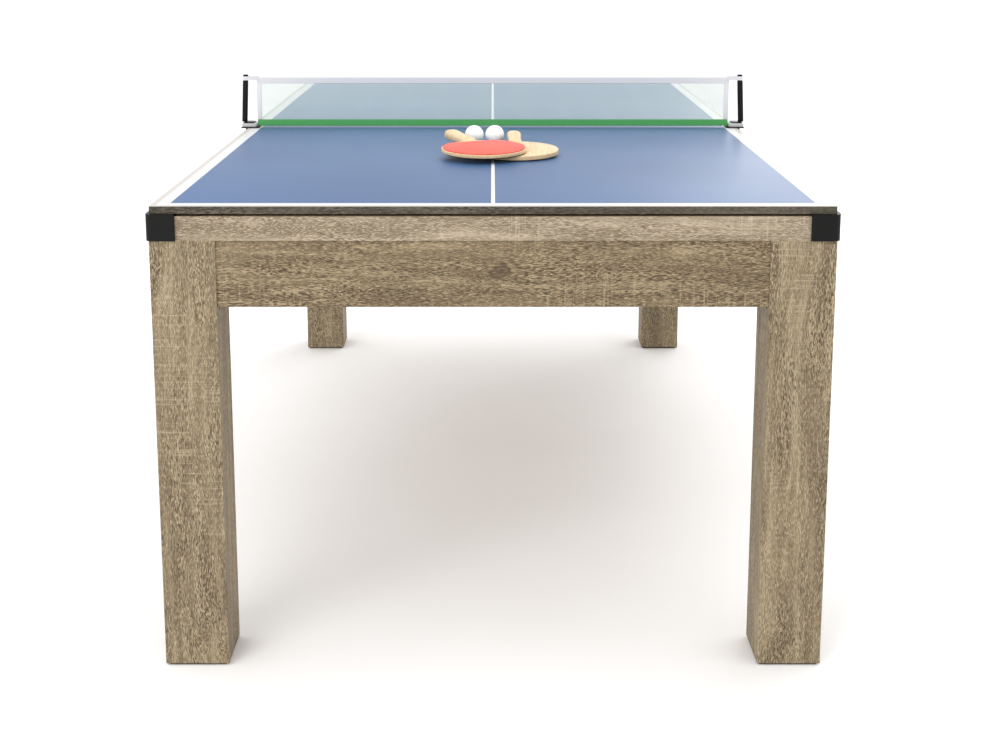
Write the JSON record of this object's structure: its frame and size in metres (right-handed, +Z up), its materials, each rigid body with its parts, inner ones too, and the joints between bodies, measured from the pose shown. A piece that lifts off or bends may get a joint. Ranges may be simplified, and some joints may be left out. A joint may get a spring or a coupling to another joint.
{
  "type": "pool table",
  "caption": "Free-standing pool table in greyed oak with square legs and black pocket caps, under a lift-off blue table-tennis top with a clip-on net, bats and balls",
  "frame": {"origin": "on the floor under the middle of the table, at the bottom centre of its bounding box", "axes": "+X across the table to the right, +Y along its length away from the near end, +Z up"},
  "size_m": [1.176, 2.133, 0.942],
  "materials": {
    "leg_wood": "greyed oak laminate, satin",
    "inner_wood": "raw fibreboard",
    "zinc_steel": "zinc plated",
    "foot_plastic": "moulded nylon",
    "apron_wood": "greyed oak laminate, satin",
    "rail_wood": "greyed oak laminate, satin",
    "bed_felt": "napped felt",
    "cushion_felt": "felt over rubber",
    "cap_plastic": "moulded",
    "cup_plastic": "moulded",
    "sight_pearl": "pearl",
    "tennis_paint": "painted fibreboard with white lines",
    "net_cord": "knotted cord",
    "net_tape": "woven tape",
    "net_band": "woven tape",
    "clamp_plastic": "moulded",
    "bat_wood": "plywood, oiled",
    "bat_rubber": "pimpled sheet",
    "ball_plastic": "celluloid"
  },
  "bodies": {
    "table": {"apron_far": "apron_wood", "apron_left": "apron_wood", "apron_near": "apron_wood", "apron_right": "apron_wood", "beam_brackets": "zinc_steel", "bed_board": "inner_wood", "bed_cloth": "bed_felt", "corner_cap_far_left": "cap_plastic", "corner_cap_far_right": "cap_plastic", "corner_cap_near_left": "cap_plastic", "corner_cap_near_right": "cap_plastic", "corner_straps": "zinc_steel", "cross_beams": "inner_wood", "end_cushions": "cushion_felt", "frame_screws": "zinc_steel", "leg_foot_blocks": "inner_wood", "leg_inner_panels": "leg_wood", "leg_panel_far_left": "leg_wood", "leg_panel_far_right": "leg_wood", "leg_panel_near_left": "leg_wood", "leg_panel_near_right": "leg_wood", "leg_tee_nuts": "zinc_steel", "pocket_cup_far_left": "cup_plastic", "pocket_cup_far_right": "cup_plastic", "pocket_cup_left": "cup_plastic", "pocket_cup_near_left": "cup_plastic", "pocket_cup_near_right": "cup_plastic", "pocket_cup_right": "cup_plastic", "rail_bolts": "zinc_steel", "rail_far": "rail_wood", "rail_far_left": "rail_wood", "rail_far_right": "rail_wood", "rail_near": "rail_wood", "rail_near_left": "rail_wood", "rail_near_right": "rail_wood", "rail_sights": "sight_pearl", "side_caps": "cap_plastic", "side_cushions": "cushion_felt"},
    "top_near": {"tennis_top_near": "tennis_paint", "net_mesh": "net_cord", "net_binding": "net_tape", "net_bottom_band": "net_band"},
    "top_far": {"tennis_top_far": "tennis_paint"},
    "clamp_left": {"net_clamp_left": "clamp_plastic", "net_post_left": "clamp_plastic"},
    "ball_left": {"ball_left": "ball_plastic"},
    "clamp_right": {"net_clamp_right": "clamp_plastic", "net_post_right": "clamp_plastic"},
    "ball_right": {"ball_right": "ball_plastic"},
    "bat_plain": {"bat_plain": "bat_wood"},
    "bat_red": {"bat_red": "bat_wood", "bat_red_rubbers": "bat_rubber"},
    "pad_near_left": {"foot_pad_near_left": "foot_plastic"},
    "stud_near_left": {"foot_stud_near_left": "zinc_steel"},
    "pad_near_right": {"foot_pad_near_right": "foot_plastic"},
    "stud_near_right": {"foot_stud_near_right": "zinc_steel"},
    "pad_far_left": {"foot_pad_far_left": "foot_plastic"},
    "stud_far_left": {"foot_stud_far_left": "zinc_steel"},
    "pad_far_right": {"foot_pad_far_right": "foot_plastic"},
    "stud_far_right": {"foot_stud_far_right": "zinc_steel"}
  },
  "joints": [
    {"name": "near_top_lift", "type": "slide", "parent": "table", "child": "top_near", "axis": [0, 0, 1], "range_m": [0, 0.3]},
    {"name": "far_top_lift", "type": "slide", "parent": "table", "child": "top_far", "axis": [0, 0, 1], "range_m": [0, 0.3]},
    {"name": "clamp_slide_left", "type": "slide", "parent": "top_near", "child": "clamp_left", "axis": [-1, 0, 0], "range_m": [0, 0.045]},
    {"name": "pick_up_ball_left", "type": "slide", "parent": "top_near", "child": "ball_left", "axis": [0, 0, 1], "range_m": [0, 0.1]},
    {"name": "clamp_slide_right", "type": "slide", "parent": "top_near", "child": "clamp_right", "axis": [1, 0, 0], "range_m": [0, 0.045]},
    {"name": "pick_up_ball_right", "type": "slide", "parent": "top_near", "child": "ball_right", "axis": [0, 0, 1], "range_m": [0, 0.1]},
    {"name": "pick_up_bat_plain", "type": "slide", "parent": "top_near", "child": "bat_plain", "axis": [0, 0, 1], "range_m": [0, 0.08]},
    {"name": "pick_up_bat_red", "type": "slide", "parent": "bat_plain", "child": "bat_red", "axis": [0, 0, 1], "range_m": [0, 0.08]},
    {"name": "foot_drop_near_left", "type": "slide", "parent": "table", "child": "pad_near_left", "axis": [0, 0, -1], "range_m": [0, 0.012]},
    {"name": "stud_turn_near_left", "type": "hinge", "parent": "pad_near_left", "child": "stud_near_left", "pos_m": [-0.5165, -1.005, 0.03], "axis": [0, 0, -1], "range_deg": [0, 2880]},
    {"name": "foot_drop_near_right", "type": "slide", "parent": "table", "child": "pad_near_right", "axis": [0, 0, -1], "range_m": [0, 0.012]},
    {"name": "stud_turn_near_right", "type": "hinge", "parent": "pad_near_right", "child": "stud_near_right", "pos_m": [0.5165, -1.005, 0.03], "axis": [0, 0, -1], "range_deg": [0, 2880]},
    {"name": "foot_drop_far_left", "type": "slide", "parent": "table", "child": "pad_far_left", "axis": [0, 0, -1], "range_m": [0, 0.012]},
    {"name": "stud_turn_far_left", "type": "hinge", "parent": "pad_far_left", "child": "stud_far_left", "pos_m": [-0.5165, 1.005, 0.03], "axis": [0, 0, -1], "range_deg": [0, 2880]},
    {"name": "foot_drop_far_right", "type": "slide", "parent": "table", "child": "pad_far_right", "axis": [0, 0, -1], "range_m": [0, 0.012]},
    {"name": "stud_turn_far_right", "type": "hinge", "parent": "pad_far_right", "child": "stud_far_right", "pos_m": [0.5165, 1.005, 0.03], "axis": [0, 0, -1], "range_deg": [0, 2880]}
  ],
  "couplings": [
    {"joint": "foot_drop_near_left", "follows": "stud_turn_near_left", "m_per_rad": 0.0002387},
    {"joint": "foot_drop_near_right", "follows": "stud_turn_near_right", "m_per_rad": 0.0002387},
    {"joint": "foot_drop_far_left", "follows": "stud_turn_far_left", "m_per_rad": 0.0002387},
    {"joint": "foot_drop_far_right", "follows": "stud_turn_far_right", "m_per_rad": 0.0002387}
  ]
}
